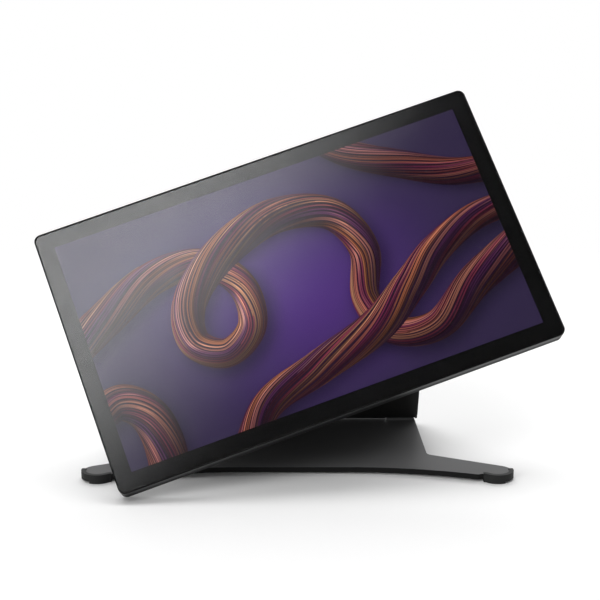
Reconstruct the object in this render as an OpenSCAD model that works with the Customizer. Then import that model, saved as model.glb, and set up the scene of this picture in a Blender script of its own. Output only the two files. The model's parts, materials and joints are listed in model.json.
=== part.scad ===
// Pen display on an adjustable stand: a flat base with two splayed front legs, a wide arm
// hinged at the base's rear, a tilt hinge and a turntable behind the display.
// Millimetres, +Z up, +Y away from the user, +X to the user's right.
// The origin lies on the desk, under the middle of the whole object.

/* [Display] */
// Width of the display, edge to edge
display_w = 515.4; // [512:0.2:518]
// Height of the display, edge to edge
display_h = 307.9; // [306:0.1:310]
// Thickness of the display at its flat back
display_t = 25; // [25:0.5:26]
// Radius of the display's corners
corner_r = 8; // [6:0.5:10]
// Width of the rim that shows round the cover glass
rim = 1.2; // [0.8:0.1:2]
// Width of the picture area
picture_w = 476.6; // [470:0.2:478]
// Height of the picture area
picture_h = 268.1; // [264:0.1:270]
// How far the raised back stands out behind the glass
hump_y = 28; // [27.5:0.5:29]
// Width of the raised back
hump_w = 330; // [328:1:332]
// Height of the raised back
hump_h = 170; // [168:1:172]

/* [Pose] */
// Lean of the display back from upright, in degrees
lean = 29.6; // [20:0.1:35]
// Turn of the display, counter-clockwise as the user sees it, in degrees
turn = 20.3; // [0:0.1:20.3]
// Height of the middle of the glass above the desk
centre_z = 213; // [212:1:240]
// Position of the middle of the glass along Y
centre_y = -20.7; // [-24:0.1:-18]

/* [Stand] */
// Thickness of the base plate
plate_t = 6; // [5:0.5:6]
// Height of the rubber feet under the plate
foot_h = 3; // [2.5:0.5:3]
// Half of the plate's width at the rear
rear_half = 142.7; // [142:0.1:144]
// Position of the plate's straight front edge along Y
front_y = -45.5; // [-55:0.1:-45]
// Distance of each leg's round end from the middle
leg_x = 221.8; // [215:0.1:230]
// Radius of each leg's round end
leg_r = 17; // [14:0.5:18]
// Width of the arm
arm_w = 292; // [290:1:294]
// Position of the arm's lower hinge axis along Y
lift_y = 126.8; // [124:0.1:130]
// Distance of the tilt axis behind the glass
tilt_d = 52; // [51.5:0.5:54]

/* [Controls] */
// Travel of each express key
key_travel = 1.2; // [0.8:0.1:1.5]
// Distance between neighbouring express keys
key_pitch = 22; // [21:0.5:23]
// Sideways distance of the keys from the middle
key_x = 218; // [217:0.5:219]

/* [Hidden] */
$fn = 48;
// Layers of the display, as distances behind the front of the glass
glass_t = 1.8;
rim_y = 0.5;
ledge_y = 2.2;
seam_y = 12;
side_y = display_t - 2.5;
back_bevel = 2.5;
wall = 2;
inner_w = 490;
inner_h = 282;
// Raised back: its inner depth and its edge
hump_in = hump_y - wall;
hump_r = 14;
// Turntable between the display and the tilt head
vesa_pitch = 100;
vesa_plate_t = 3;
vesa_y = hump_y + vesa_plate_t;
housing_y0 = vesa_y + 0.6;
housing_y1 = housing_y0 + 8;
housing_r = 44;
spindle_r = 14;
spindle_end = housing_y1 + 5.9;
stop_at = 34;
stop_r = 2.5;
turn_limit = 20.3;
ring_r = [17, 27];
head_bolt = [18, 26];
head_plate = [96, 64, 3.4];
run = 0.05;
// Layers behind the glass, each from its front to its back
lcd_at = [glass_t + 0.1, 4.8];
guide_at = [5.2, 7.6];
tray_at = [5, 8.4];
sensor_at = [8.6, 9.6];
shield_at = [9.7, 10.3];
mid_at = [10.5, seam_y];
tray_w = 488;
tray_h = 280;
tray_wall = 0.8;
guide_w = 482;
guide_h = 272;
// Hinges
shaft_r = 5;
bush_r = 7;
seat = 0.02;
barrel_r = 9.2;
knuckle_r = 11;
plate_top = foot_h + plate_t;
lift_z = plate_top + 10;
lug_r = 9;
bracket_screw_x = [116, 135];
rear_foot = [112, 104, 11];
// The arm runs from the lower hinge axis to the tilt axis
tilt_y = centre_y + tilt_d * cos(lean);
tilt_z = centre_z - tilt_d * sin(lean);
arm_len = sqrt(pow(lift_y - tilt_y, 2) + pow(tilt_z - lift_z, 2));
arm_lean = atan2(lift_y - tilt_y, tilt_z - lift_z);
arm_half = 9.5;
cover_t = 2;
arm_low = 12;
arm_top = arm_len - 16;
// Lower hinge, from the middle outwards
lug_x = [109, 142];
outer_knuckle = [94, 107];
inner_knuckle = [40, 54];
arm_cheek = 2.5;
arm_window = 24;
arm_window_pitch = 56;
// Upper hinge, from the middle outwards
head_barrel = [24, 60];
arm_knuckle = [62, 82];
nut_r = 8.6;
// Base outline
leg_y = -56.4;
leg_tangent = [leg_x + leg_r * cos(60), leg_y + leg_r * sin(60)];
crotch = [148.4, -2.5];
rear_y = 136;
curve_from = 60;
curve_to = 200;
curve_k = 0.00118;
inner_fillet = 8;
outer_fillet = 3;
// Rubber bumper: how far it stands out, up and in, and where its foot block ends
pad_out = 1.8;
pad_up = 1.2;
pad_in = 3;
pad_x = 206;
pad_foot_x = 230;
pad_foot_y = -60;
pad_rear_y = -52;
// Express keys in the grips: face, flange, and the depths that they reach
key_size = [14, 17];
key_gap = 0.3;
flange_size = [16, 19];
flange_end = 27.8;
key_end = 31;
well_y = 27;
grip_w = 46;
grip_h = 128;
grip_end = 30;
grip_room_y = 28;
// Places of the repeated parts
key_z = [for (i = [0:3]) (1.5 - i) * key_pitch];
key_y = display_t + 1.85;
cover_screw_r = 1.5;
cover_head_r = 2.9;
cover_boss_r = 4.5;
cover_screw_at = [[-225, -128], [225, -128], [-225, 128], [225, 128], [0, -128], [0, 128]];
arm_screw_z = [26, arm_len / 2, arm_len - 32];
fan_x = 112;
fan_z = 4;
fan_y = 15.4;
board_y = 13.4;
board_top = 15;
port_x = 164.8;
pocket_y = 13.6;
socket_y = 16.2;
vent_z = 68;
vent_w = 120;
vent_h = 12;
// Ports: width along Z, height along Y, and place along Z
video_port = [15, 5.4, -49];
usb_ports = [[9, 3.4, -34], [9, 3.4, -23]];
inlet_port = [11.4, 4.9, -66];
button_x = 205;
switch_x = 168;
light_x = 224;
edge_y = 6.5;
switch_travel = 3;
spring_turns = 11;
spring_wire = 0.9;
spring_r = 7.1;
spring_room = 8.4;

// ---- Frames -------------------------------------------------------------------------

// Tilt head: the glass plane is XZ, its front is at y = 0 and +y runs to the back
module in_head() {
    translate([0, centre_y, centre_z]) rotate([-lean, 0, 0]) children();
}

module in_display() {
    in_head() rotate([0, -turn, 0]) children();
}

// Arm: z runs along the arm from the lower axis, and -y is its front face
module in_arm() {
    translate([0, lift_y, lift_z]) rotate([arm_lean, 0, 0]) children();
}

// ---- Shared shapes ------------------------------------------------------------------

module rounded(w, h, r) {
    square([w - 2 * r, h], center = true);
    square([w, h - 2 * r], center = true);
    for (sx = [-1, 1], sz = [-1, 1])
        translate([sx * (w / 2 - r), sz * (h / 2 - r)]) circle(r);
}

// Rounded plate in the XZ plane from depth y0 to depth y1
module slab(w, h, y0, y1, r) {
    translate([0, y1, 0]) rotate([90, 0, 0]) linear_extrude(y1 - y0) rounded(w, h, r);
}

// Plate with straight sides from y0 to y1, then drawn in evenly to y2
module tapered(w, h, y0, y1, y2, inset, r) {
    hull() {
        slab(w, h, y0, y1, r);
        slab(w - 2 * inset, h - 2 * inset, y2 - 0.2, y2, r);
    }
}

// Round bar along Y between two depths
module post(r, y0, y1) {
    translate([0, y1, 0]) rotate([90, 0, 0]) cylinder(r = r, h = y1 - y0);
}

// Round bar along X between two places
module bar(r, x0, x1) {
    translate([x0, 0, 0]) rotate([0, 90, 0]) cylinder(r = r, h = x1 - x0);
}

module tube(r_out, r_in, x0, x1) {
    difference() {
        bar(r_out, x0, x1);
        bar(r_in, x0 - 1, x1 + 1);
    }
}

module block(x, y, z) {
    translate([x[0], y[0], z[0]]) cube([x[1] - x[0], y[1] - y[0], z[1] - z[0]]);
}

module both_sides() {
    children();
    mirror([1, 0, 0]) children();
}

// ---- Base ---------------------------------------------------------------------------

function front_edge(x) = front_y - curve_k * pow(max(0, x - curve_from), 2);

module half_outline() {
    edge = [for (x = [curve_to:-10:curve_from]) [x, front_edge(x)]];
    polygon(concat(
        [[0, rear_y], [rear_half, rear_y], crotch, leg_tangent],
        edge,
        [[0, front_y]]
    ));
    translate([leg_x, leg_y]) circle(leg_r);
}

// The inner corners are filled with a radius and the outer ones are eased
module base_outline(grow = 0) {
    offset(r = grow + outer_fillet) offset(r = -outer_fillet - inner_fillet) offset(r = inner_fillet)
        both_sides() half_outline();
}

module bracket_screw_places() {
    for (side = [-1, 1], x = bracket_screw_x) translate([side * x, lift_y + 1, 0]) children();
}

module base_plate() color("#232325") difference() {
    translate([0, 0, foot_h]) linear_extrude(plate_t) base_outline();
    bracket_screw_places() {
        translate([0, 0, -1]) cylinder(r = 2.1, h = plate_top + 2);
        translate([0, 0, foot_h - 1]) cylinder(r = 3.7, h = 3.1);
    }
}

// Rubber bumper: a band round a leg's end, with a foot block under its front
module front_pads() color("#101010") both_sides() difference() {
    intersection() {
        linear_extrude(plate_top + pad_up) base_outline(pad_out);
        union() {
            block([pad_x, pad_foot_x], [-80, pad_foot_y], [0, plate_top]);
            block([pad_x, 245], [-80, pad_rear_y], [foot_h - 0.8, plate_top + 5]);
        }
    }
    translate([0, 0, foot_h]) linear_extrude(plate_t) base_outline(seat);
    translate([0, 0, plate_top - 0.1]) linear_extrude(10) base_outline(-pad_in);
}

module rear_feet() color("#101010") both_sides()
    translate([rear_foot[0], rear_foot[1], 0]) cylinder(r = rear_foot[2], h = foot_h);

// Hinge lug on the plate at each side, with the shaft's bore
module lower_brackets() color("#77787a") both_sides() difference() {
    union() {
        translate([0, lift_y, lift_z]) bar(lug_r, lug_x[0], lug_x[1]);
        block(lug_x, [lift_y - 7, lift_y + lug_r], [plate_top, lift_z]);
    }
    translate([0, lift_y, lift_z]) bar(shaft_r + seat, lug_x[0] - 1, lug_x[1] + 1);
    for (x = bracket_screw_x) translate([x, lift_y + 1, plate_top - 1]) cylinder(r = 2.02, h = 4.6);
}

module bracket_screws() color("#5a5a5c") bracket_screw_places() {
    translate([0, 0, foot_h + 0.1]) cylinder(r = 3.5, h = 1.9);
    translate([0, 0, foot_h + 1]) cylinder(r = 2, h = 8.4);
}

module lower_shafts() color("#b8bbc0") both_sides()
    translate([0, lift_y, lift_z]) bar(shaft_r, 44.5, lug_x[1]);

// ---- Arm ----------------------------------------------------------------------------

module arm_screw_places() {
    for (side = [-1, 1], z = arm_screw_z) translate([side * (arm_w / 2 - 5), 0, z]) children();
}

module lower_barrel() {
    bar(barrel_r, -outer_knuckle[1], outer_knuckle[1]);
    block([-outer_knuckle[1], outer_knuckle[1]], [-barrel_r, barrel_r], [0, arm_low + 2]);
    both_sides() {
        bar(barrel_r, arm_w / 2 - arm_cheek, arm_w / 2);
        block([arm_w / 2 - arm_cheek, arm_w / 2], [-barrel_r, barrel_r], [0, arm_low + 2]);
    }
}

module upper_knuckles() {
    both_sides() {
        translate([0, 0, arm_len]) bar(knuckle_r, arm_knuckle[0], arm_knuckle[1]);
        block(arm_knuckle, [-arm_half, arm_half], [arm_top - 2, arm_len]);
    }
}

module arm_frame() color("#1b1b1d") in_arm() difference() {
    union() {
        block([-arm_w / 2, arm_w / 2], [-arm_half, arm_half], [arm_low, arm_top]);
        lower_barrel();
        upper_knuckles();
    }
    for (i = [-2:2]) translate([i * arm_window_pitch, 0, 0])
        block([-arm_window, arm_window], [-20, 20], [arm_low + 10, arm_top - 10]);
    both_sides() {
        bar(bush_r + seat, inner_knuckle[0] + 4, outer_knuckle[1] + 1);
        bar(spring_room, inner_knuckle[1], outer_knuckle[0]);
        translate([0, 0, arm_len]) bar(bush_r + seat, arm_knuckle[0] - 1, arm_knuckle[1] + 1);
    }
    arm_screw_places() post(1.55, 2, arm_half + 1);
}

// Sheet over one face of the arm, from its foot to just under the knuckles
module arm_sheet(y0, y1) {
    translate([0, 0, arm_top / 2]) slab(arm_w, arm_top, y0, y1, 6);
}

module arm_front_cover() color("#141415") in_arm() arm_sheet(-arm_half - cover_t, -arm_half);

module arm_rear_cover() color("#1d1d1f") in_arm() difference() {
    arm_sheet(arm_half, arm_half + cover_t);
    arm_screw_places() {
        post(1.6, arm_half - 1, arm_half + cover_t + 1);
        post(3.1, arm_half + 0.8, arm_half + cover_t + 1);
    }
}

module arm_cover_screws() color("#8a8c90") in_arm() arm_screw_places() {
    post(1.5, 3, arm_half + 1.2);
    post(2.9, arm_half + 0.8, arm_half + cover_t - 0.2);
}

module lower_bushes() color("#b08d4a") in_arm() both_sides() {
    tube(bush_r, shaft_r + run, outer_knuckle[0] + 0.2, outer_knuckle[1] - 0.2);
    tube(bush_r, shaft_r + run, inner_knuckle[0] + 4.2, inner_knuckle[1] - 0.2);
}

module upper_bushes() color("#b08d4a") in_arm() both_sides() translate([0, 0, arm_len])
    tube(bush_r, shaft_r + run, arm_knuckle[0] + 0.2, arm_knuckle[1] - 0.2);

// Torsion spring round a lower shaft: one closed sweep along a helix about X
function helix_ring(i, steps, x0, x1) =
    let (
        a = 360 * spring_turns * i / steps,
        x = x0 + (x1 - x0) * i / steps
    )
    [for (k = [0:5])
        let (r = spring_r + spring_wire * cos(60 * k))
        [x + spring_wire * sin(60 * k), r * sin(a), r * cos(a)]];

module lift_spring(x0, x1) {
    steps = spring_turns * 12;
    points = [for (i = [0:steps]) each helix_ring(i, steps, x0, x1)];
    sides = [for (i = [0:steps - 1], k = [0:5])
        let (n = (k + 1) % 6)
        [6 * i + k, 6 * i + n, 6 * (i + 1) + n, 6 * (i + 1) + k]];
    start = [[5, 4, 3, 2, 1, 0]];
    finish = [[for (k = [0:5]) 6 * steps + k]];
    polyhedron(points, concat(sides, start, finish));
}

module lift_spring_left() color("#9a9ca0") in_arm() mirror([1, 0, 0])
    lift_spring(inner_knuckle[1] + 2, outer_knuckle[0] - 2);

module lift_spring_right() color("#9a9ca0") in_arm()
    lift_spring(inner_knuckle[1] + 2, outer_knuckle[0] - 2);

// ---- Tilt head ----------------------------------------------------------------------

module head_bolt_places() {
    for (sx = [-1, 1], sz = [-1, 1]) translate([sx * head_bolt[0], 0, sz * head_bolt[1]]) children();
}

module rotation_housing() color("#2a2a2c") in_head() difference() {
    post(housing_r, housing_y0, housing_y1);
    post(spindle_r + run, housing_y0 - 1, housing_y1 + 1);
    // Seat for the friction ring
    difference() {
        post(ring_r[1], housing_y0 - 1, housing_y0 + 1.5);
        post(ring_r[0], housing_y0 - 2, housing_y0 + 2);
    }
    // Slot that the stop pin runs in
    translate([0, housing_y0 + 4.5, 0]) rotate([90, 0, 0]) rotate(-90 - turn_limit - 4.8)
        rotate_extrude(angle = 2 * (turn_limit + 4.8), $fn = 96)
            translate([stop_at - stop_r - 0.4, 0]) square([2 * stop_r + 0.8, 6]);
    head_bolt_places() post(1.7, housing_y1 - 5, housing_y1 + 1);
}

module friction_ring() color("#c9c6bd") in_head() difference() {
    post(ring_r[1] - 0.2, housing_y0 - 0.4, housing_y0 + 1.5);
    post(ring_r[0] + 0.2, housing_y0 - 1, housing_y0 + 2);
}

// Bracket that carries the housing on the tilt shaft
module tilt_bracket() color("#2e2e30") in_head() difference() {
    union() {
        slab(head_plate[0], head_plate[1], housing_y1, housing_y1 + head_plate[2], 8);
        both_sides() {
            translate([0, tilt_d, 0]) bar(knuckle_r, head_barrel[0], head_barrel[1]);
            block([head_barrel[0], 48], [housing_y1 + 1, tilt_d], [-10, 10]);
        }
    }
    post(19.5, housing_y1 - 1, housing_y1 + 6);
    both_sides() translate([0, tilt_d, 0]) bar(shaft_r + seat, head_barrel[0] - 1, head_barrel[1] + 1);
    head_bolt_places() post(1.8, housing_y1 - 1, housing_y1 + 6);
}

module bracket_bolts() color("#8a8c90") in_head() head_bolt_places() {
    post(1.65, housing_y1 - 4, housing_y1 + 4);
    post(3, housing_y1 + head_plate[2], housing_y1 + 5.6);
}

module tilt_shaft() color("#b8bbc0") in_head() translate([0, tilt_d, 0]) bar(shaft_r, -88.5, 88.5);

module tilt_washers() color("#8a8c90") in_head() translate([0, tilt_d, 0]) both_sides()
    tube(nut_r, shaft_r + seat, arm_knuckle[1] + 0.15, arm_knuckle[1] + 1.2);

module tilt_nuts() color("#8a8c90") in_head() translate([0, tilt_d, 0]) both_sides() difference() {
    translate([arm_knuckle[1] + 1.3, 0, 0]) rotate([0, 90, 0]) cylinder(r = nut_r, h = 5, $fn = 6);
    bar(shaft_r + seat, arm_knuckle[1], arm_knuckle[1] + 8);
}

// ---- Turntable on the display -------------------------------------------------------

module vesa_places() {
    for (sx = [-1, 1], sz = [-1, 1])
        translate([sx * vesa_pitch / 2, 0, sz * vesa_pitch / 2]) children();
}

module vesa_plate() color("#343437") in_display() difference() {
    union() {
        slab(120, 120, hump_y, vesa_y, 10);
        post(spindle_r, hump_y + 1, spindle_end);
    }
    post(9, hump_y - 1, spindle_end + 1);
    vesa_places() post(2.2, hump_y - 1, vesa_y + 1);
    translate([0, 0, -stop_at]) post(1.52, hump_y - 1, vesa_y + 1);
}

module vesa_screws() color("#9fa1a5") in_display() vesa_places() {
    post(2, hump_y - 9, vesa_y + 0.5);
    post(3.9, vesa_y, vesa_y + 2.4);
}

module spindle_nut() color("#8a8c90") in_display() difference() {
    post(18, housing_y1 + 0.3, housing_y1 + 4.6);
    post(spindle_r + seat, housing_y1 - 1, housing_y1 + 6);
    for (a = [0:90:270]) rotate([0, a, 0]) block([-1.5, 1.5], [housing_y1 + 2, housing_y1 + 6], [16.2, 20]);
}

module stop_pin() color("#b8bbc0") in_display() translate([0, 0, -stop_at]) {
    post(1.5, hump_y + 0.2, vesa_y + 1);
    post(stop_r, vesa_y, housing_y0 + 3.8);
}

// ---- Display panel stack ------------------------------------------------------------

module cover_glass() color("#0c0c10") in_display()
    slab(display_w - 2 * rim, display_h - 2 * rim, 0, glass_t, corner_r - rim);

module ring(w, h, w_in, h_in, y0, y1, r) {
    difference() {
        slab(w, h, y0, y1, r);
        slab(w_in, h_in, y0 - 1, y1 + 1, 1);
    }
}

module glass_gasket() color("#202020") in_display()
    ring(509, 301.5, 492, 284, glass_t, ledge_y, 5);

module lcd_panel() color("#2b2140") in_display()
    slab(picture_w + 7.4, picture_h + 7.9, lcd_at[0], lcd_at[1], 1);

module light_guide() color("#dfe6ea") in_display() translate([0, 0, 1.5])
    slab(guide_w, guide_h, guide_at[0], guide_at[1], 1);

module led_bar() color("#e8dfb8") in_display() {
    block([-236, 236], [5.3, 7.6], [-138.9, -137.9]);
    for (i = [-11:11]) block([i * 20 - 2, i * 20 + 2], [5.8, 7.2], [-137.9, -136.4]);
}

module backlight_tray() color("#c3c6c9") in_display() difference() {
    slab(tray_w, tray_h, tray_at[0], tray_at[1], 1.5);
    slab(tray_w - 2 * tray_wall, tray_h - 2 * tray_wall, tray_at[0] - 1, guide_at[1] + 0.1, 1);
}

module sensor_board() color("#1f5a3a") in_display()
    slab(guide_w - 2, guide_h, sensor_at[0], sensor_at[1], 1);

module shield_plate() color("#a8abae") in_display() difference() {
    slab(tray_w - 4, tray_h - 4, shield_at[0], shield_at[1], 1);
    for (sx = [-1, 1], sz = [-1, 1]) translate([sx * 180, 0, sz * 90]) post(6, 9, 11);
}

module mid_frame() color("#8d9095") in_display() difference() {
    union() {
        slab(tray_w, tray_h, mid_at[0], mid_at[1], 2);
        vesa_places() post(5, 11, hump_in);
        for (x = [-70, 70, 140], z = [-72, -20]) translate([x, 0, z]) post(2.4, 11, board_y);
        for (x = [-200, 200]) block([x - 1, x + 1], [seam_y - 0.5, seam_y + 3], [-110, 110]);
    }
    vesa_places() post(2.05, hump_in - 10, hump_in + 1);
    for (p = cover_screw_at) translate([p[0], 0, p[1]]) post(cover_screw_r + 0.05, mid_at[0] - 1, seam_y + 1);
}

// Openings in the top edge for the power button, the touch switch and the power light
module edge_openings() {
    translate([button_x, edge_y, 0]) {
        pill_z(14.6, 4.6, 140, 156);
        block([-8.6, 8.6], [-3.4, 3.4], [140, 147]);
    }
    translate([switch_x, edge_y, 0]) {
        pill_z(12.4, 4.4, 140, 156);
        block([-8.6, 8.6], [-3.4, 3.4], [140, 149]);
    }
    translate([light_x, edge_y, 139]) cylinder(r = 1.02, h = 17);
}

// Upright bar with a pill-shaped section, from height z0 to height z1
module pill_z(w, d, z0, z1) {
    translate([0, 0, z0]) linear_extrude(z1 - z0) {
        square([w - d, d], center = true);
        for (s = [-1, 1]) translate([s * (w - d) / 2, 0]) circle(d / 2);
    }
}

module front_frame() color("#1c1c1e") in_display() difference() {
    slab(display_w, display_h, rim_y, seam_y, corner_r);
    slab(display_w - 2 * rim + 0.2, display_h - 2 * rim + 0.2, -1, ledge_y, corner_r - rim + 0.1);
    slab(inner_w, inner_h, 1, seam_y + 1, 2);
    edge_openings();
}

// ---- Display back -------------------------------------------------------------------

module port_hole(p, room) {
    block([160, 168], [socket_y - room, socket_y + p[1] + room],
        [p[2] - p[0] / 2 - room, p[2] + p[0] / 2 + room]);
}

module rear_cover() color("#19191b") in_display() difference() {
    union() {
        difference() {
            union() {
                tapered(display_w, display_h, seam_y, side_y, display_t, back_bevel, corner_r);
                tapered(hump_w, hump_h, display_t - 1, hump_in, hump_y, 2, hump_r);
            }
            slab(display_w - 2 * wall, display_h - 2 * wall, seam_y - 1, display_t - wall, corner_r - 1);
            slab(hump_w - 2 * wall, hump_h - 2 * wall, seam_y, hump_in, hump_r - wall);
        }
        for (p = cover_screw_at) translate([p[0], 0, p[1]]) post(cover_boss_r, seam_y + 0.1, display_t - 1);
        block([163, 194], [pocket_y - 1.4, display_t - 1], [-80, -14]);
    }
    block([165, 192], [pocket_y, display_t + 10], [-78, -16]);
    for (p = concat([video_port, inlet_port], usb_ports)) port_hole(p, 0.1);
    vesa_places() post(2.3, hump_in - 1, hump_y + 1);
    for (s = [-1, 1]) translate([0, 0, s * vent_z]) vent_block(hump_in - 1, hump_y + 1, 0.2);
    for (p = cover_screw_at) translate([p[0], 0, p[1]]) {
        post(cover_screw_r + 0.1, seam_y - 1, display_t + 1);
        post(cover_head_r + 0.2, display_t - 2, display_t + 1);
    }
}

module cover_screws() color("#6a6c70") in_display() for (p = cover_screw_at) translate([p[0], 0, p[1]]) {
    post(cover_screw_r, mid_at[0] + 0.1, display_t - 1.5);
    post(cover_head_r, display_t - 2, display_t - 0.3);
}

// Outline of a vent between two depths, wider all round by the given room
module vent_block(y0, y1, room) {
    block([-vent_w / 2 - room, vent_w / 2 + room], [y0, y1], [-vent_h / 2 - room, vent_h / 2 + room]);
}

module vent_grilles() color("#111112") in_display() for (s = [-1, 1]) translate([0, 0, s * vent_z])
    difference() {
        vent_block(hump_in, hump_y - 0.4, 0);
        for (i = [-11:11]) translate([i * 5, 0, 0]) block([-1.2, 1.2], [20, 30], [-4.2, 4.2]);
    }

// Hand grip behind each side, with a well for each key
module grip(side) {
    difference() {
        translate([side * key_x, 0, 0])
            tapered(grip_w, grip_h, display_t, display_t + 1.5, grip_end, 3.5, 10);
        translate([side * key_x, 0, 0]) slab(grip_w - 12, grip_h - 28, display_t - 1, grip_room_y, 4);
        for (z = key_z) translate([side * key_x, 0, z])
            slab(key_size[0] + 2 * key_gap, key_size[1] + 2 * key_gap, well_y, key_end, 2.3);
    }
}

module grip_left() color("#1b1b1d") in_display() grip(-1);

module grip_right() color("#1b1b1d") in_display() grip(1);

// Small boards under the keys and behind the top edge's controls
module switch_boards() color("#1d4d34") in_display() {
    for (side = [-1, 1]) translate([side * key_x, 0, 0]) {
        block([-14, 14], [display_t + 0.05, display_t + 0.4], [-47, 47]);
        for (z = key_z) translate([0, 0, z]) post(3, display_t + 0.3, key_y - key_travel - 0.05);
    }
    for (x = [button_x, switch_x]) translate([x, edge_y, 0]) block([-8, 8], [-3, 3], [141.2, 142.4]);
    translate([light_x, edge_y, 141.1]) cylinder(r = 1, h = 13);
}

module main_board() color("#1d5a3c") in_display() difference() {
    union() {
        block([-80, 162], [board_y, board_top], [-78, -12]);
        block([150, 162], [board_top - 0.1, socket_y], [-74, -17]);
        block([-13, 13], [board_top, 16.4], [-41, -15]);
        for (x = [-34, 34, 88]) block([x - 6, x + 6], [board_top, 16.2], [-36, -24]);
        for (i = [0:4]) block([70 + i * 9, 75 + i * 9], [board_top, 17], [-74, -68]);
    }
    for (sx = [-1, 1]) translate([sx * vesa_pitch / 2, 0, -vesa_pitch / 2]) post(5.4, 10, 20);
}

module heat_sink() color("#b3b6ba") in_display() {
    block([-32, 32], [16.5, 18.4], [-44, 12]);
    for (i = [-6:6]) block([i * 5 - 0.6, i * 5 + 0.6], [18.4, 24.4], [-44, -12]);
}

module heat_pipes() color("#b5703c") in_display() for (z = [-6, 4])
    block([-84, 84], [18.5, 21], [z - 3, z + 3]);

module fan_housings() color("#151516") in_display() for (side = [-1, 1])
    translate([side * fan_x, 0, fan_z]) {
        difference() {
            slab(52, 52, fan_y, 24.6, 4);
            post(23.5, fan_y + 1, 26);
            block([-30, 0], [fan_y + 1, 23], [10, 20]);
        }
        post(1.5, fan_y + 0.5, 23.4);
    }

// Socket body with its mouth at the cover's side wall
module socket_shell(p, skin) {
    difference() {
        block([port_x - 13, port_x], [socket_y, socket_y + p[1]], [p[2] - p[0] / 2, p[2] + p[0] / 2]);
        block([port_x - 11, port_x + 1], [socket_y + skin, socket_y + p[1] - skin],
            [p[2] - p[0] / 2 + skin, p[2] + p[0] / 2 - skin]);
    }
    block([port_x - 12, port_x - 2], [socket_y + p[1] / 2 - 0.5, socket_y + p[1] / 2 + 0.5],
        [p[2] - p[0] / 2 + 2, p[2] + p[0] / 2 - 2]);
}

module video_socket() color("#a9abae") in_display() socket_shell(video_port, 0.6);

module usb_sockets() color("#a9abae") in_display() for (p = usb_ports) socket_shell(p, 0.45);

// Flat direct-current inlet: a moulded shell round a tongue
module power_inlet() color("#0f0f10") in_display() socket_shell(inlet_port, 0.9);

// ---- Moving controls and fans -------------------------------------------------------

module key(side, i) {
    in_display() translate([side * key_x, 0, key_z[i]]) {
        slab(key_size[0], key_size[1], well_y, key_end, 2);
        slab(flange_size[0], flange_size[1], key_y, flange_end, 2);
    }
}

module key_left_1() color("#29292c") key(-1, 0);

module key_left_2() color("#29292c") key(-1, 1);

module key_left_3() color("#29292c") key(-1, 2);

module key_left_4() color("#29292c") key(-1, 3);

module key_right_1() color("#29292c") key(1, 0);

module key_right_2() color("#29292c") key(1, 1);

module key_right_3() color("#29292c") key(1, 2);

module key_right_4() color("#29292c") key(1, 3);

module power_button() color("#3a3a3d") in_display() translate([button_x, edge_y, 0]) {
    pill_z(14, 4, 145, display_h / 2 + 0.35);
    block([-8, 8], [-3, 3], [143.6, 146.6]);
}

module touch_switch() color("#3a3a3d") in_display() translate([switch_x - switch_travel / 2, edge_y, 0]) {
    pill_z(7.6, 3.8, 147, display_h / 2 + 0.6);
    block([-5, 5], [-3, 3], [143, 148.6]);
}

module fan(side) {
    in_display() translate([side * fan_x, 0, fan_z]) difference() {
        union() {
            post(8, fan_y + 1.4, 23.6);
            for (a = [0:40:320]) rotate([0, a, 0]) block([7, 21.5], [17, 22.6], [-0.7, 0.7]);
        }
        post(1.5 + run, fan_y, 22.9 + 0.6);
    }
}

module fan_left() color("#2c2c2e") fan(-1);

module fan_right() color("#2c2c2e") fan(1);

// ---- One line per node --------------------------------------------------------------

base_plate();
front_pads();
rear_feet();
lower_brackets();
bracket_screws();
lower_shafts();
arm_frame();
arm_front_cover();
arm_rear_cover();
arm_cover_screws();
lower_bushes();
upper_bushes();
lift_spring_left();
lift_spring_right();
rotation_housing();
friction_ring();
tilt_bracket();
bracket_bolts();
tilt_shaft();
tilt_washers();
tilt_nuts();
vesa_plate();
vesa_screws();
spindle_nut();
stop_pin();
cover_glass();
glass_gasket();
lcd_panel();
light_guide();
led_bar();
backlight_tray();
sensor_board();
shield_plate();
mid_frame();
front_frame();
rear_cover();
cover_screws();
grip_left();
grip_right();
switch_boards();
vent_grilles();
main_board();
heat_sink();
heat_pipes();
fan_housings();
video_socket();
usb_sockets();
power_inlet();
key_left_1();
key_left_2();
key_left_3();
key_left_4();
key_right_1();
key_right_2();
key_right_3();
key_right_4();
power_button();
touch_switch();
fan_left();
fan_right();
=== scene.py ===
"""Looks for the pen display on its stand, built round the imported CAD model.

The CAD nodes keep their shapes and get procedural materials and eased edges. The cover glass is
replaced by a pane with a printed border behind it and a picture of flowing ribbons behind that.
"""
import json
import math
import random

import bmesh
import bpy
import numpy as np
from mathutils import Matrix, Vector


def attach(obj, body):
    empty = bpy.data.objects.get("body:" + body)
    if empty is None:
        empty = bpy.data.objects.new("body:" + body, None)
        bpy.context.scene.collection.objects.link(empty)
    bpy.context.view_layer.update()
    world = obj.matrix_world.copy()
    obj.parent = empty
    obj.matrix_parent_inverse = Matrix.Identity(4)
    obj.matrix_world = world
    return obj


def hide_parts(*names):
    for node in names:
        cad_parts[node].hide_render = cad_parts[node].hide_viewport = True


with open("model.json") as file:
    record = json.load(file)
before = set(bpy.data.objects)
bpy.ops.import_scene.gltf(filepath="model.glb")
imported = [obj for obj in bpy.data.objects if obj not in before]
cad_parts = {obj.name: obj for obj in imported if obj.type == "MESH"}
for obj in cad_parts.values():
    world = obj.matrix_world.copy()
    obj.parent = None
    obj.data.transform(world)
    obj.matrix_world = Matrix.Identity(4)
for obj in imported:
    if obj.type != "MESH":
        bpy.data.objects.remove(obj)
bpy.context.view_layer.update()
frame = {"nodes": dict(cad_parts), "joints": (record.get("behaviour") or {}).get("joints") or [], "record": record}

MM = 0.001
NODES = frame["nodes"]
JOINTS = {j["name"]: j for j in frame["joints"]}

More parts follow.
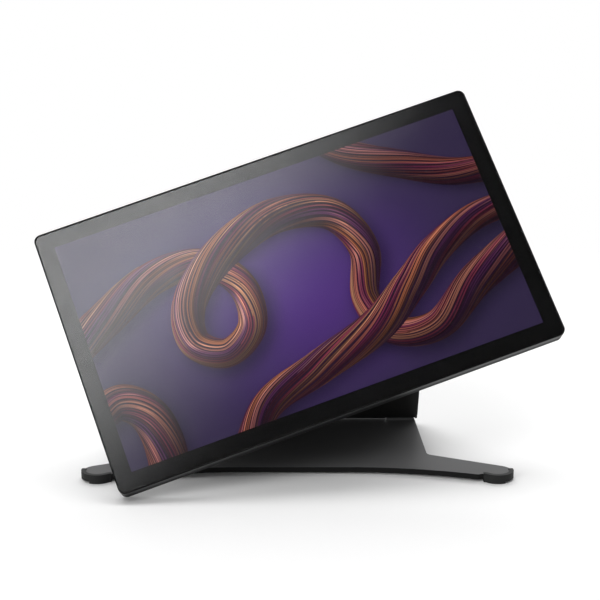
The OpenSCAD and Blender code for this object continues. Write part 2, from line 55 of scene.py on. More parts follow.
# The display's own axes, from its joints: x to the right, y to the back, z up its face. They
# start in the middle of the glass's front
CENTRE = Vector(JOINTS["display_rotate"]["pos_m"])
FACE_X = Vector(JOINTS["slide_touch"]["axis"])
FACE_Y = -Vector(JOINTS["display_rotate"]["axis"])
FACE_Z = -Vector(JOINTS["press_power"]["axis"])
FROM_FACE = Matrix.Translation(CENTRE) @ Matrix((FACE_X, FACE_Y, FACE_Z)).transposed().to_4x4()
TO_FACE = FROM_FACE.inverted()


def face_box(node):
    """Lowest and highest corner of a CAD node in the display's own axes, in metres."""
    points = [TO_FACE @ v.co for v in NODES[node].data.vertices]
    low = Vector([min(p[i] for p in points) for i in range(3)])
    high = Vector([max(p[i] for p in points) for i in range(3)])
    return low, high


# ---- Shader nodes that several materials share ----------------------------------------------

# The middle of a noise's range, which holds nearly all of it
NOISE_MIDDLE = (0.3, 0.7)


def new_material(name):
    mat = bpy.data.materials.new(name)
    mat.use_nodes = True
    tree = mat.node_tree
    shader = tree.nodes["Principled BSDF"]
    return mat, tree, shader


def noise(tree, scale, detail=4, stretch=(1, 1, 1)):
    """Noise over the piece's own metres; a larger stretch makes it finer along that axis."""
    where = tree.nodes.new("ShaderNodeTexCoord")
    shape = tree.nodes.new("ShaderNodeMapping")
    shape.inputs["Scale"].default_value = stretch
    node = tree.nodes.new("ShaderNodeTexNoise")
    node.inputs["Scale"].default_value = scale
    node.inputs["Detail"].default_value = detail
    tree.links.new(where.outputs["Object"], shape.inputs["Vector"])
    tree.links.new(shape.outputs["Vector"], node.inputs["Vector"])
    return node.outputs["Fac"]


def along(tree, coordinate, direction):
    """How far a texture coordinate lies along a direction."""
    where = tree.nodes.new("ShaderNodeTexCoord")
    node = tree.nodes.new("ShaderNodeVectorMath")
    node.operation = "DOT_PRODUCT"
    node.inputs[1].default_value = direction
    tree.links.new(where.outputs[coordinate], node.inputs[0])
    return node.outputs["Value"]


def remap(tree, value, given, wanted=(0, 1), smooth=False):
    """A value from the given range to the wanted one, held at its ends."""
    node = tree.nodes.new("ShaderNodeMapRange")
    if smooth:
        node.interpolation_type = "SMOOTHSTEP"
    for socket, number in zip(("From Min", "From Max", "To Min", "To Max"), (*given, *wanted)):
        node.inputs[socket].default_value = number
    tree.links.new(value, node.inputs["Value"])
    return node.outputs["Result"]


def combine(tree, operation, first, *others):
    """Sockets and plain numbers, taken together one after the other."""
    for other in others:
        node = tree.nodes.new("ShaderNodeMath")
        node.operation = operation
        for socket, value in zip(node.inputs, (first, other)):
            if isinstance(value, float):
                socket.default_value = value
            else:
                tree.links.new(value, socket)
        first = node.outputs[0]
    return first


def blend_colours(tree, value, first, second):
    """From the first colour to the second over the middle of a noise."""
    ramp = tree.nodes.new("ShaderNodeValToRGB")
    for stop, place, colour in zip(ramp.color_ramp.elements, NOISE_MIDDLE, (first, second)):
        stop.position = place
        stop.color = (*colour, 1)
    tree.links.new(value, ramp.inputs["Fac"])
    return ramp.outputs["Color"]


def mix_in(tree, plain, share, other):
    """A plain colour, with another mixed in by its share."""
    node = tree.nodes.new("ShaderNodeMixRGB")
    node.inputs["Color1"].default_value = (*plain, 1)
    tree.links.new(share, node.inputs["Fac"])
    tree.links.new(other, node.inputs["Color2"])
    return node.outputs["Color"]


def bump(tree, shader, value, strength, depth):
    """Relief of a depth in metres."""
    node = tree.nodes.new("ShaderNodeBump")
    node.inputs["Strength"].default_value = strength
    node.inputs["Distance"].default_value = depth
    tree.links.new(value, node.inputs["Height"])
    tree.links.new(node.outputs["Normal"], shader.inputs["Normal"])


# ---- Camera, stage and light ----------------------------------------------------------------

CAMERA_PITCH = math.radians(14)
CAMERA_AWAY = Vector((0.0028, -1.6530, 0.3949))
CAMERA_LENS = 92.4
CAMERA_SENSOR = 36

FLOOR_R = 1.3
FLOOR_FADE = 0.7
FLOOR_SIDES = 64
FLOOR_TONE = (0.75, 0.75, 0.75)

OVERHEAD_PLACE = (0, 0.75, 1.8)
OVERHEAD_TARGET = (0, 0, 0)
OVERHEAD_SIZE = (2.4, 2.0)
OVERHEAD_LIGHT = 2.5

# The world's light: how strong each part is, where it comes from, and the cosines of the angle to
# that direction between which it fades in
BACK_LIGHT = 1.1
BACK = (0, 0.8, 0.6)
BACK_FADE = (0.0, 0.9)
FRONT = (0, -1, 0)
FRONT_FADE = (0.35, 0.55)
LOW_FRONT_LIGHT = 1.2
UP = (0, 0, 1)
LOW_FADE = (0.55, 0.4)
WINDOW_LIGHT = 7.4
WINDOW = (-0.6896, -0.0306, 0.7235)
WINDOW_OUTER_FADE = (0.5225, 0.6316)
WINDOW_INNER_FADE = (0.84, 0.72)
ROOM_LIGHT = 0.1


def add_camera():
    data = bpy.data.cameras.new("camera")
    data.lens = CAMERA_LENS
    data.sensor_width = CAMERA_SENSOR
    camera = bpy.data.objects.new("camera", data)
    camera.location = CENTRE + CAMERA_AWAY
    camera.rotation_euler = (math.pi / 2 - CAMERA_PITCH, 0, 0)
    bpy.context.collection.objects.link(camera)
    bpy.context.scene.camera = camera


def add_overhead_lamp():
    """Soft rectangular lamp above and behind the display, aimed at the middle of the floor."""
    width, depth = OVERHEAD_SIZE
    data = bpy.data.lights.new("overhead", "AREA")
    data.shape = "RECTANGLE"
    data.size = width
    data.size_y = depth
    data.energy = OVERHEAD_LIGHT * math.pi * width * depth
    lamp = bpy.data.objects.new("overhead", data)
    lamp.location = OVERHEAD_PLACE
    aim = Vector(OVERHEAD_TARGET) - Vector(OVERHEAD_PLACE)
    lamp.rotation_euler = aim.to_track_quat("-Z", "Y").to_euler()
    bpy.context.collection.objects.link(lamp)


def band(tree, direction, fade):
    """0 to 1 as the world's direction turns toward the given one."""
    return remap(tree, along(tree, "Generated", direction), fade, smooth=True)


def add_world():
    """White behind everything. Its light is a glow at the back, a soft window at the upper left and
    a weak fill from the lower front and all round.

    The glass mirrors the window, whose faded edge crosses it from the top to the lower left.
    """
    world = bpy.data.worlds.new("studio")
    bpy.context.scene.world = world
    world.use_nodes = True
    tree = world.node_tree
    tree.nodes.clear()
    out = tree.nodes.new("ShaderNodeOutputWorld")
    seen = tree.nodes.new("ShaderNodeBackground")
    seen.inputs["Color"].default_value = (1, 1, 1, 1)
    lit = tree.nodes.new("ShaderNodeBackground")
    front = band(tree, FRONT, FRONT_FADE)
    back = combine(tree, "MULTIPLY", band(tree, BACK, BACK_FADE), BACK_LIGHT)
    window = combine(
        tree, "MULTIPLY", band(tree, WINDOW, WINDOW_OUTER_FADE), front,
        band(tree, WINDOW, WINDOW_INNER_FADE), WINDOW_LIGHT)
    low_front = combine(tree, "MULTIPLY", front, band(tree, UP, LOW_FADE), LOW_FRONT_LIGHT)
    total = combine(tree, "ADD", back, window, low_front, ROOM_LIGHT)
    tree.links.new(total, lit.inputs["Strength"])
    path = tree.nodes.new("ShaderNodeLightPath")
    mix = tree.nodes.new("ShaderNodeMixShader")
    tree.links.new(path.outputs["Is Camera Ray"], mix.inputs["Fac"])
    tree.links.new(lit.outputs[0], mix.inputs[1])
    tree.links.new(seen.outputs[0], mix.inputs[2])
    tree.links.new(mix.outputs[0], out.inputs["Surface"])


def floor_paper():
    """Pale paper that fades out toward the floor's edge."""
    mat, tree, shader = new_material("floor_paper")
    shader.inputs["Base Color"].default_value = (*FLOOR_TONE, 1)
    shader.inputs["Roughness"].default_value = 0.9
    shader.inputs["Specular IOR Level"].default_value = 0.1
    where = tree.nodes.new("ShaderNodeTexCoord")
    length = tree.nodes.new("ShaderNodeVectorMath")
    length.operation = "LENGTH"
    tree.links.new(where.outputs["Object"], length.inputs[0])
    alpha = remap(tree, length.outputs["Value"], (FLOOR_FADE, FLOOR_R), (1, 0), smooth=True)
    tree.links.new(alpha, shader.inputs["Alpha"])
    return mat


def add_stage():
    """Pale round floor that fades into the white behind it."""
    turns = [2 * math.pi * i / FLOOR_SIDES for i in range(FLOOR_SIDES)]
    ring = [(FLOOR_R * math.cos(turn), FLOOR_R * math.sin(turn), 0) for turn in turns]
    mesh = bpy.data.meshes.new("floor")
    mesh.from_pydata(ring, [], [tuple(range(FLOOR_SIDES))])
    floor = bpy.data.objects.new("floor", mesh)
    bpy.context.collection.objects.link(floor)
    mesh.materials.append(floor_paper())


# ---- Materials ------------------------------------------------------------------------------

# Slow changes of tone and gloss over a moulded or coated surface, and the strength of its grain
SLOW_SCALE = 9
TONE_CHANGE = 0.12
GLOSS_CHANGE = 0.04
GRAIN_STRENGTH = 0.35

# Bare metal: the tone and the roughness of its darker and its brighter lines
METAL_TONES = (0.86, 1.1)
METAL_ROUGH = (-0.06, 0.08)
METAL_STRENGTH = 0.25

# The base plate turns from its edge's near-black painted shade to its top's tone between these heights of its
# normal
FACING_UP = (0.5, 0.9)
PLATE_TOP = ((0.086, 0.086, 0.087), (0.102, 0.102, 0.104))
PLATE_EDGE_PAINTED_SHADE = (0.006, 0.006, 0.006)

# The painted highlight strip round the display's side, standing in for the light line its side catches: its tones,
# and the depths in millimetres behind the glass's front between which it comes up and dies away
HIGHLIGHT_STRIP_TONES = ((0.060, 0.060, 0.061), (0.074, 0.074, 0.075))
HIGHLIGHT_STRIP_FADES = ((2.0, 2.6), (6.2, 5.4))
RIM_BLACK = (0.004, 0.004, 0.004)

# What lies behind the glass: the picture with its light off, and the print
UNLIT_TONES = ((0.0008, 0.0008, 0.0008), (0.0014, 0.0014, 0.0016))
PRINT_TONES = ((0.0015, 0.0015, 0.0015), (0.0025, 0.0025, 0.0026))


def shaded(colour, factor):
    return tuple(min(1, c * factor) for c in colour)


def grained(name, colour, rough, grain=1400, depth=0.00006, specular=0.5, coat=0.0):
    """Moulded plastic, rubber or powder coat: a fine grain over slow changes of tone."""
    mat, tree, shader = new_material(name)
    slow = noise(tree, SLOW_SCALE, detail=3)
    tone = blend_colours(tree, slow, shaded(colour, 1 - TONE_CHANGE), shaded(colour, 1 + TONE_CHANGE))
    tree.links.new(tone, shader.inputs["Base Color"])
    gloss = remap(tree, slow, NOISE_MIDDLE, (rough - GLOSS_CHANGE, rough + GLOSS_CHANGE))
    tree.links.new(gloss, shader.inputs["Roughness"])
    bump(tree, shader, noise(tree, grain, detail=2), GRAIN_STRENGTH, depth)
    shader.inputs["Specular IOR Level"].default_value = specular
    shader.inputs["Coat Weight"].default_value = coat
    return mat


def coated_plate():
    """The base's powder coat with painted shade: pale where it faces up and near black, as painted shade, on the
    plate's cut edge.
    """
    mat, tree, shader = new_material("powder_coat_and_painted_edge_shade")
    slow = noise(tree, SLOW_SCALE, detail=3)
    shape = tree.nodes.new("ShaderNodeNewGeometry")
    parts = tree.nodes.new("ShaderNodeSeparateXYZ")
    tree.links.new(shape.outputs["Normal"], parts.inputs["Vector"])
    # Painted shade: where the surface turns from facing up to the cut edge, the colour darkens to near black
    up = remap(tree, parts.outputs["Z"], FACING_UP)
    tone = mix_in(tree, PLATE_EDGE_PAINTED_SHADE, up, blend_colours(tree, slow, *PLATE_TOP))
    tree.links.new(tone, shader.inputs["Base Color"])
    tree.links.new(remap(tree, slow, NOISE_MIDDLE, (0.37, 0.43)), shader.inputs["Roughness"])
    bump(tree, shader, noise(tree, 1800, detail=2), GRAIN_STRENGTH, depth=0.00005)
    shader.inputs["Specular IOR Level"].default_value = 0.08
    return mat


def metal(name, colour, rough, stretch=(1, 1, 1), grain=600):
    """Bare metal with a directed or even grain."""
    mat, tree, shader = new_material(name)
    lines = noise(tree, grain, detail=3, stretch=stretch)
    tone = blend_colours(tree, lines, *(shaded(colour, factor) for factor in METAL_TONES))
    tree.links.new(tone, shader.inputs["Base Color"])
    gloss = remap(tree, lines, NOISE_MIDDLE, [rough + change for change in METAL_ROUGH])
    tree.links.new(gloss, shader.inputs["Roughness"])
    shader.inputs["Metallic"].default_value = 1
    bump(tree, shader, lines, METAL_STRENGTH, depth=0.00003)
    return mat


def board(name):
    """Solder mask over copper tracks."""
    mat, tree, shader = new_material(name)
    cells = tree.nodes.new("ShaderNodeTexBrick")
    cells.inputs["Scale"].default_value = 90
    cells.inputs["Color1"].default_value = (0.012, 0.085, 0.045, 1)
    cells.inputs["Color2"].default_value = (0.016, 0.110, 0.058, 1)
    cells.inputs["Mortar"].default_value = (0.03, 0.16, 0.08, 1)
    cells.inputs["Mortar Size"].default_value = 0.03
    where = tree.nodes.new("ShaderNodeTexCoord")
    tree.links.new(where.outputs["Object"], cells.inputs["Vector"])
    tree.links.new(cells.outputs["Color"], shader.inputs["Base Color"])
    gloss = remap(tree, noise(tree, 60), NOISE_MIDDLE, (0.28, 0.4))
    tree.links.new(gloss, shader.inputs["Roughness"])
    return mat


def clear_glass():
    """Cover glass. It bends no light, because the print and the picture are bonded to its back."""
    mat, tree, shader = new_material("cover_glass")
    tint = blend_colours(tree, noise(tree, 30, detail=3), (0.97, 0.975, 0.98), (1, 1, 1))
    tree.links.new(tint, shader.inputs["Base Color"])
    shader.inputs["Transmission Weight"].default_value = 1
    shader.inputs["IOR"].default_value = 1.0
    shader.inputs["Roughness"].default_value = 0
    return mat


def etched_front(shader):
    """The glass's etched face over what is bonded to it: reflections spread into a haze."""
    shader.inputs["Specular IOR Level"].default_value = 0
    shader.inputs["Coat Weight"].default_value = 1
    shader.inputs["Coat IOR"].default_value = 1.5
    shader.inputs["Coat Roughness"].default_value = 0.08


def picture_material():
    """Lit picture: the colours stored on its mesh."""
    mat, tree, shader = new_material("lit_picture")
    paint = tree.nodes.new("ShaderNodeVertexColor")
    paint.layer_name = "paint"
    unlit = blend_colours(tree, noise(tree, 500, detail=2), *UNLIT_TONES)
    tree.links.new(unlit, shader.inputs["Base Color"])
    tree.links.new(paint.outputs["Color"], shader.inputs["Emission Color"])
    shader.inputs["Emission Strength"].default_value = 1
    etched_front(shader)
    return mat


def print_material():
    """Black print round the picture."""
    mat, tree, shader = new_material("black_print")
    tone = blend_colours(tree, noise(tree, 40, detail=3), *PRINT_TONES)
    tree.links.new(tone, shader.inputs["Base Color"])
    etched_front(shader)
    return mat


def frame_rim():
    """The front frame: black, with a painted highlight strip round its side just behind the glass."""
    mat, tree, shader = new_material("case_rim_painted_highlight")
    depth = along(tree, "Object", FACE_Y)
    front = CENTRE.dot(FACE_Y)
    # Painted highlight: a lighter band on the frame's side a few millimetres behind the glass
    fades = [remap(tree, depth, [front + d * MM for d in fade]) for fade in HIGHLIGHT_STRIP_FADES]
    strip = combine(tree, "MULTIPLY", *fades)
    highlight_tone = blend_colours(tree, noise(tree, 200, detail=3), *HIGHLIGHT_STRIP_TONES)
    tree.links.new(mix_in(tree, RIM_BLACK, strip, highlight_tone), shader.inputs["Base Color"])
    shader.inputs["Roughness"].default_value = 0.38
    shader.inputs["Specular IOR Level"].default_value = 0.05
    bump(tree, shader, noise(tree, 2200, detail=2), strength=0.25, depth=0.00003)
    return mat


def slot_materials():
    """A material for each slot. The numbers after a colour are its roughness, and then the scale
    and depth of a moulded grain or the stretch of a metal's.
    """
    return {
        "stand_metal": coated_plate(),
        "arm_metal": grained("arm_coat", (0.009, 0.009, 0.009), 0.5, 1800, 0.00005, specular=0.15),
        "arm_plastic": grained("arm_back", (0.022, 0.022, 0.023), 0.5, 1500, 0.00006),
        "case_metal": frame_rim(),
        "case_plastic": grained("case_back", (0.009, 0.009, 0.0094), 0.5, 1300, 0.00008, specular=0.03),
        "grille_plastic": grained("grille", (0.012, 0.012, 0.013), 0.55),
        "button_plastic": grained("button", (0.03, 0.03, 0.032), 0.4),
        "key_plastic": grained("key", (0.028, 0.028, 0.03), 0.38, 1600),
        "fan_plastic": grained("fan", (0.02, 0.02, 0.021), 0.45),
        "guide_plastic": grained("light_guide", (0.8, 0.84, 0.86), 0.15, coat=0.4),
        "friction_plastic": grained("friction_ring", (0.6, 0.57, 0.5), 0.4),
        "rubber": grained("rubber", (0.006, 0.006, 0.006), 0.6, 900, 0.0001, specular=0.25),
        "hinge_metal": grained("hinge_lug", (0.06, 0.06, 0.062), 0.4),
        "hinge_dark": grained("hinge_dark", (0.035, 0.035, 0.037), 0.4),
        "frame_metal": metal("cast_frame", (0.55, 0.56, 0.58), 0.5, grain=300),
        "tray_metal": metal("sheet", (0.7, 0.71, 0.72), 0.35, (1, 1, 8)),
        "socket_metal": metal("socket", (0.66, 0.67, 0.69), 0.25),
        "shaft_steel": metal("shaft", (0.17, 0.17, 0.175), 0.34, (0.2, 6, 6)),
        "spring_steel": metal("spring", (0.5, 0.51, 0.53), 0.3),
        "screw_steel": metal("screw", (0.09, 0.09, 0.095), 0.32),
        "bush_brass": metal("bush", (0.62, 0.45, 0.2), 0.35),
        "copper": metal("copper", (0.7, 0.36, 0.2), 0.3),
        "circuit_board": board("solder_mask"),
        "led": grained("led", (0.8, 0.75, 0.5), 0.3),
        "lcd": grained("panel_back", (0.02, 0.02, 0.024), 0.3),
        "glass": clear_glass(),
    }


def dress_nodes(materials):
    slots = {s["node"]: s["material_slot"] for s in frame["record"]["subparts"]}
    for name, obj in NODES.items():
        obj.data.materials.clear()
        obj.data.materials.append(materials[slots[name]])


# ---- Eased edges on the CAD nodes -----------------------------------------------------------

# Width of each node's eased edges, in millimetres
EASED = {
    "base_plate": 1.2, "front_pads": 0.7, "lower_brackets": 0.5, "arm_frame": 0.5,
    "arm_front_cover": 0.6, "arm_rear_cover": 0.6, "rotation_housing": 0.6, "tilt_bracket": 0.5,
    "tilt_nuts": 0.4, "tilt_shaft": 0.5, "vesa_plate": 0.5, "vesa_screws": 0.35,
    "spindle_nut": 0.3, "front_frame": 0.8, "rear_cover": 0.5, "grip_left": 0.6,
    "grip_right": 0.6, "power_button": 0.3, "touch_switch": 0.3, "arm_cover_screws": 0.2,
    "cover_screws": 0.2, "vent_grilles": 0.2, "bracket_bolts": 0.25,
}
KEY_EASE = 0.5
WELD_WITHIN = 0.000002
FLAT_ANGLE = math.radians(0.5)
SHARP_ANGLE = math.radians(38)


def ease_edges(obj, width_mm):
    """Small bevels along the sharp edges, after joining the CAD mesh's triangles into faces."""
    weld = obj.modifiers.new("weld", "WELD")
    weld.merge_threshold = WELD_WITHIN
    flat = obj.modifiers.new("flat", "DECIMATE")
    flat.decimate_type = "DISSOLVE"
    flat.angle_limit = FLAT_ANGLE
    bevel = obj.modifiers.new("bevel", "BEVEL")
    bevel.width = width_mm * MM
    bevel.segments = 2
    bevel.limit_method = "ANGLE"
    bevel.angle_limit = SHARP_ANGLE
    even = obj.modifiers.new("even", "WEIGHTED_NORMAL")
    even.mode = "FACE_AREA"
    even.weight = 100
    for polygon in obj.data.polygons:
        polygon.use_smooth = True


def ease_all():
    for name, obj in NODES.items():
        if name in EASED:
            ease_edges(obj, EASED[name])
        elif name.startswith("key_"):
            ease_edges(obj, KEY_EASE)


# ---- Glass, border and picture --------------------------------------------------------------

# The pane with its corners and ground edge. Y is the depth of the print and of the picture
# behind its front
PANE_T = 1.6 * MM
PANE_CORNER = 6.8 * MM
PANE_GROUND = 0.35 * MM
BORDER_Y = 1.62 * MM
BORDER_T = 0.04 * MM
BORDER_INSET = 0.5 * MM
BORDER_CORNER = 6 * MM
PICTURE_Y = 1.78 * MM
PICTURE_W = 476.6 * MM
PICTURE_H = 268.1 * MM
PICTURE_CORNER = 0.5 * MM
PICTURE_UP = 0.7 * MM
CORNER_STEPS = 10


def rounded_outline(w, h, r):
    """Points round a rounded rectangle in the face plane, counter-clockwise."""
    points = []
    for quarter, (sx, sz) in enumerate(((1, 1), (-1, 1), (-1, -1), (1, -1))):
        cx, cz = sx * (w / 2 - r), sz * (h / 2 - r)
        for i in range(CORNER_STEPS + 1):
            a = math.radians(90) * (quarter + i / CORNER_STEPS)
            points.append((cx + r * math.cos(a), cz + r * math.sin(a)))
    return points


def add_mesh(name, points, faces, mat):
    """New piece from points in the display's own axes."""
    mesh = bpy.data.meshes.new(name)
    mesh.from_pydata([FROM_FACE @ Vector(p) for p in points], [], faces)
    mesh.materials.append(mat)
    obj = bpy.data.objects.new(name, mesh)
    bpy.context.collection.objects.link(obj)
    return obj


def add_pane(mat):
    """The cover glass, with a ground edge round its front."""
    low, high = face_box("cover_glass")
    w, h = high.x - low.x, high.z - low.z
    rings = [(PANE_GROUND, low.y), (0, low.y + PANE_GROUND), (0, low.y + PANE_T)]
    points, faces = [], []
    for inset, y in rings:
        outline = rounded_outline(w - 2 * inset, h - 2 * inset, PANE_CORNER - inset)
        points += [(x, y, z) for x, z in outline]
    n = len(points) // len(rings)
    for k in range(len(rings) - 1):
        for i in range(n):
            j = (i + 1) % n
            faces.append((k * n + i, k * n + j, (k + 1) * n + j, (k + 1) * n + i))
    faces.append(tuple(reversed(range(n))))
    faces.append(tuple(range((len(rings) - 1) * n, len(rings) * n)))
    pane = add_mesh("cover_glass_pane", points, faces, mat)
    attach(pane, "display")
    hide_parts("cover_glass")


def add_border(mat):
    """Black print on the back of the glass, open where the picture shows."""
    low, high = face_box("cover_glass")
    w, h = high.x - low.x - 2 * BORDER_INSET, high.z - low.z - 2 * BORDER_INSET
    outer = rounded_outline(w, h, BORDER_CORNER)
    opening = rounded_outline(PICTURE_W, PICTURE_H, PICTURE_CORNER)
    inner = [(x, z + PICTURE_UP) for x, z in opening]
    n = len(outer)
    layers = (BORDER_Y, BORDER_Y + BORDER_T)
    points = [(x, y, z) for y in layers for ring in (outer, inner) for x, z in ring]
    faces = []
    for i in range(n):
        j = (i + 1) % n
        faces.append((i, j, n + j, n + i))
        faces.append((2 * n + j, 2 * n + i, 3 * n + i, 3 * n + j))
        faces.append((j, i, 2 * n + i, 2 * n + j))
        faces.append((n + i, n + j, 3 * n + j, 3 * n + i))
    border = add_mesh("glass_border", points, faces, mat)
    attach(border, "display")


# The picture is drawn in millimetres from its middle, x to the right and z up. It reaches a
# little past the opening on every side
PAST_EDGE = 1
GRID_ACROSS = 150
GRID_UP = 85
TRIM_WITHIN = 1e-7

# Its ground: colours, and the middle and reach of each soft oval of light
DEEP = np.array((0.026, 0.017, 0.050))
GLOW = np.array((0.075, 0.024, 0.190))
GLOW_OVAL = ((-5, -5), (130, 95))
HAZE = np.array((0.040, 0.034, 0.085))
HAZE_OVAL = ((-110, 60), (170, 110))
HAZE_SHARE = 0.6

# The shadow of a ribbon on the ground; its reach is a share of the ribbon's width
SHADOW_SHIFT = (5, -8)
SHADOW_DARK = 0.66
SHADOW_REACH = 0.52

# The picture's warm lamp: the oval that it lights, the tint outside it, and where it stands
# from a ribbon, across the face and in front of it
LAMP_OVAL = ((-20, -10), (190, 120))
DIM_TINT = np.array((0.30, 0.16, 0.34))
LAMP_ACROSS = np.array((-0.5, 0.85))
LAMP_FRONT = 0.75

# A ribbon is a rope of strands, in cords of a few strands that share a colour. Lengths are in
# millimetres and turns in radians; a strand's width is a share of its even part of the rope
CURVE_STEPS = 22
STRANDS = 54
CORDS = 14
TWIST = 0.011
SWELL = 0.25
SWELL_LENGTH = 75
STRAND_WIDTH = 2.2
THINNEST = 0.3
HIDDEN = -0.05
SWAY = (0.02, 0.09)
BEAT = (40, 90)
CORD_COLOURS = np.array((
    (0.58, 0.20, 0.085), (0.47, 0.135, 0.100), (0.34, 0.055, 0.095), (0.50, 0.200, 0.150),
    (0.25, 0.032, 0.095), (0.60, 0.270, 0.140), (0.16, 0.040, 0.140),
))
STRAND_TONES = (0.35, 0.7, 1.0, 1.0, 1.25)
BED = np.array((0.022, 0.007, 0.024))
SHINE = np.array((1.0, 0.50, 0.24))
SHINE_SHARE = 0.75
SHINE_POWER = 18
SHADE_SHARE = 0.16
SHADE_POWER = 1.5
EDGE_SHARE = 0.42

# Depths in millimetres: from the ground to the first layer, from one layer to the next, from a
# ribbon's start to its end, from a strand's side to its crest, and from a strand to its bed
FIRST_LAYER = 0.010
LAYER_STEP = 0.035
RISE = 0.034
ROUND = 0.006
BED_BACK = 0.002

RIBBONS = [
    # Listed points in millimetres, then width, layer and seed
    ([(62, 175), (104, 128), (160, 92), (212, 64), (275, 50)], 34, 0, 9),
    ([(-275, 4), (-215, 34), (-150, 62), (-92, 60), (-58, 22), (-62, -26), (-98, -46), (-128, -22),
      (-118, 22), (-70, 62), (0, 84), (62, 66), (84, 14), (66, -40), (80, -84), (130, -96),
      (190, -62), (275, -30)], 42, 1, 5),
    ([(-262, -70), (-226, -58), (-200, -84), (-196, -130), (-210, -180)], 44, 0, 11),
    ([(275, 8), (214, 6), (160, -14), (118, -42), (66, -74), (-10, -96), (-80, -118), (-130, -180)],
     40, 2, 8),
]


class Canvas:
    """Collects the picture's faces and the colour of each corner."""

    def __init__(self):
        self.points, self.faces, self.colours = [], [], []

    def strip(self, depths, columns):
        """Faces between columns side by side, each the points and colours of one line."""
        start = len(self.points)
        width = len(columns)
        for i, depth in enumerate(depths):
            for points, colours in columns:
                x, z = points[i]
                self.points.append((x * MM, depth, z * MM))
                self.colours.append(colours[i])
        for i in range(len(depths) - 1):
            for k in range(width - 1):
                a = start + i * width + k
                self.faces.append((a, a + 1, a + width + 1, a + width))


def oval(points, middle, reach):
    """1 in the middle of a soft oval, falling away over its reach to the side and up."""
    return np.exp(-(((points - middle) / reach) ** 2).sum(axis=1))[:, None]


def backdrop(points, ropes):
    """Colours of the picture's ground: a violet glow, darker in the ribbons' shadow."""
    colour = DEEP + oval(points, *GLOW_OVAL) * (GLOW - DEEP)
    colour += HAZE_SHARE * oval(points, *HAZE_OVAL) * (HAZE - DEEP)
    for path, width, *_ in ropes:
        away = points[:, None, :] - (path[None, :, :] + SHADOW_SHIFT)
        near = np.sqrt((away ** 2).sum(axis=2).min(axis=1))
        colour *= (1 - SHADOW_DARK * np.exp(-(near / (SHADOW_REACH * width)) ** 3))[:, None]
    return colour


def smooth_path(points):
    """Catmull-Rom curve through the given points, as an array of x and z."""
    stops = [points[0]] + points + [points[-1]]
    out = []
    for i in range(1, len(stops) - 2):
        p0, p1, p2, p3 = (np.array(p, float) for p in stops[i - 1:i + 3])
        for k in range(CURVE_STEPS):
            t = k / CURVE_STEPS
            out.append(0.5 * (
                2 * p1 + (p2 - p0) * t + (2 * p0 - 5 * p1 + 4 * p2 - p3) * t * t
                + (3 * p1 - p0 - 3 * p2 + p3) * t * t * t))
    out.append(np.array(points[-1], float))
    return np.array(out)


def stretches(seen):
    """Slices of the stretches where a strand is seen, each at least two points long."""
    ends = np.flatnonzero(np.diff(np.concatenate(([0], seen.astype(int), [0]))))
    return [slice(a, b) for a, b in zip(ends[::2], ends[1::2]) if b - a > 1]


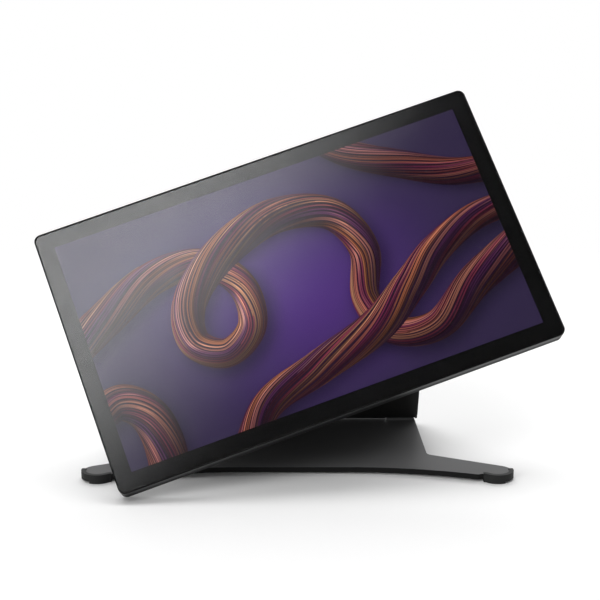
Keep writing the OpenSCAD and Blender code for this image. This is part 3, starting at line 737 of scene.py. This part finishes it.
def ribbon(canvas, path, width, layer, seed):
    """A rope of fine strands wound slowly round a path, lit from the upper left."""
    rng = random.Random(seed)
    ahead = np.gradient(path, axis=0)
    step = np.sqrt((ahead ** 2).sum(axis=1))
    travel = np.cumsum(step)
    normals = np.stack([-ahead[:, 1], ahead[:, 0]], axis=1) / step[:, None]
    wave = rng.uniform(0, 2 * math.pi)
    half = width / 2 * (1 - SWELL * (0.5 + 0.5 * np.sin(travel / SWELL_LENGTH + wave)))
    reach = normals * half[:, None]
    # The lamp's place round the rope, so highlights stay on the upper left as the path turns
    lamp = np.arctan2(normals @ LAMP_ACROSS, LAMP_FRONT)
    tint = DIM_TINT + oval(path, *LAMP_OVAL) * (1 - DIM_TINT)
    front = PICTURE_Y - (FIRST_LAYER + LAYER_STEP * layer) * MM
    lay = front - RISE * MM * np.arange(len(path)) / len(path)
    canvas.strip(lay + BED_BACK * MM, [(path - reach, BED * tint), (path + reach, BED * tint)])
    for s in range(STRANDS):
        cord = int(s / STRANDS * CORDS)
        base = CORD_COLOURS[(cord * 3 + seed) % len(CORD_COLOURS)] * rng.choice(STRAND_TONES)
        shine = rng.random() ** 3
        sway, beat = rng.uniform(*SWAY), rng.uniform(*BEAT)
        phase = rng.uniform(0, 2 * math.pi)
        angle = 2 * math.pi * s / STRANDS + TWIST * travel + sway * np.sin(travel / beat + phase)
        facing = np.cos(angle)
        thick = STRAND_WIDTH * width / STRANDS * np.clip(facing, THINNEST, 1)
        lit = np.clip(np.cos(angle - lamp), 0, 1)
        shade = SHADE_SHARE + (1 - SHADE_SHARE) * lit ** SHADE_POWER
        gleam = SHINE_SHARE * shine * lit ** SHINE_POWER
        colour = (base * shade[:, None] + SHINE * gleam[:, None]) * tint
        middle = path + reach * np.sin(angle)[:, None]
        side = normals * thick[:, None] / 2
        depths = lay - ROUND * facing * MM
        edge = colour * EDGE_SHARE
        lines = ((middle - side, edge), (middle, colour), (middle + side, edge))
        for part in stretches(facing >= HIDDEN):
            canvas.strip(depths[part], [(points[part], colours[part]) for points, colours in lines])


def trim_to(mesh, half_w, half_h):
    """Cuts off what reaches past the picture's edges."""
    shape = bmesh.new()
    shape.from_mesh(mesh)
    middle = CENTRE + FACE_Z * PICTURE_UP
    for direction, reach in ((FACE_X, half_w), (-FACE_X, half_w), (FACE_Z, half_h), (-FACE_Z, half_h)):
        everything = shape.verts[:] + shape.edges[:] + shape.faces[:]
        bmesh.ops.bisect_plane(
            shape, geom=everything, dist=TRIM_WITHIN, plane_co=middle + direction * reach,
            plane_no=direction, clear_outer=True)
    shape.to_mesh(mesh)
    shape.free()


def add_picture(mat):
    """The lit picture: a ground with ribbons over it, all one mesh with a colour at each point."""
    half_w = PICTURE_W / MM / 2 + PAST_EDGE
    half_h = PICTURE_H / MM / 2 + PAST_EDGE
    ropes = [(smooth_path(points), width, layer, seed) for points, width, layer, seed in RIBBONS]
    x = np.linspace(-half_w, half_w, GRID_ACROSS + 1)
    z = np.linspace(-half_h, half_h, GRID_UP + 1)
    ground = np.stack(np.meshgrid(x, z), axis=2)
    colours = backdrop(ground.reshape(-1, 2), ropes).reshape(len(z), len(x), 3)
    canvas = Canvas()
    canvas.strip([PICTURE_Y] * len(z), [(ground[:, i], colours[:, i]) for i in range(len(x))])
    for rope in ropes:
        ribbon(canvas, *rope)
    raised = [(x, y, z + PICTURE_UP) for x, y, z in canvas.points]
    picture = add_mesh("picture", raised, canvas.faces, mat)
    paint = picture.data.color_attributes.new("paint", "FLOAT_COLOR", "POINT")
    rgba = np.ones((len(canvas.colours), 4), dtype=np.float32)
    rgba[:, :3] = np.array(canvas.colours)
    paint.data.foreach_set("color", rgba.ravel())
    trim_to(picture.data, half_w * MM, half_h * MM)
    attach(picture, "display")


# ---- Build ----------------------------------------------------------------------------------

bpy.context.scene.view_settings.view_transform = "Standard"
add_camera()
add_world()
add_stage()
add_overhead_lamp()
materials = slot_materials()
dress_nodes(materials)
ease_all()
add_pane(materials["glass"])
add_border(print_material())
add_picture(picture_material())
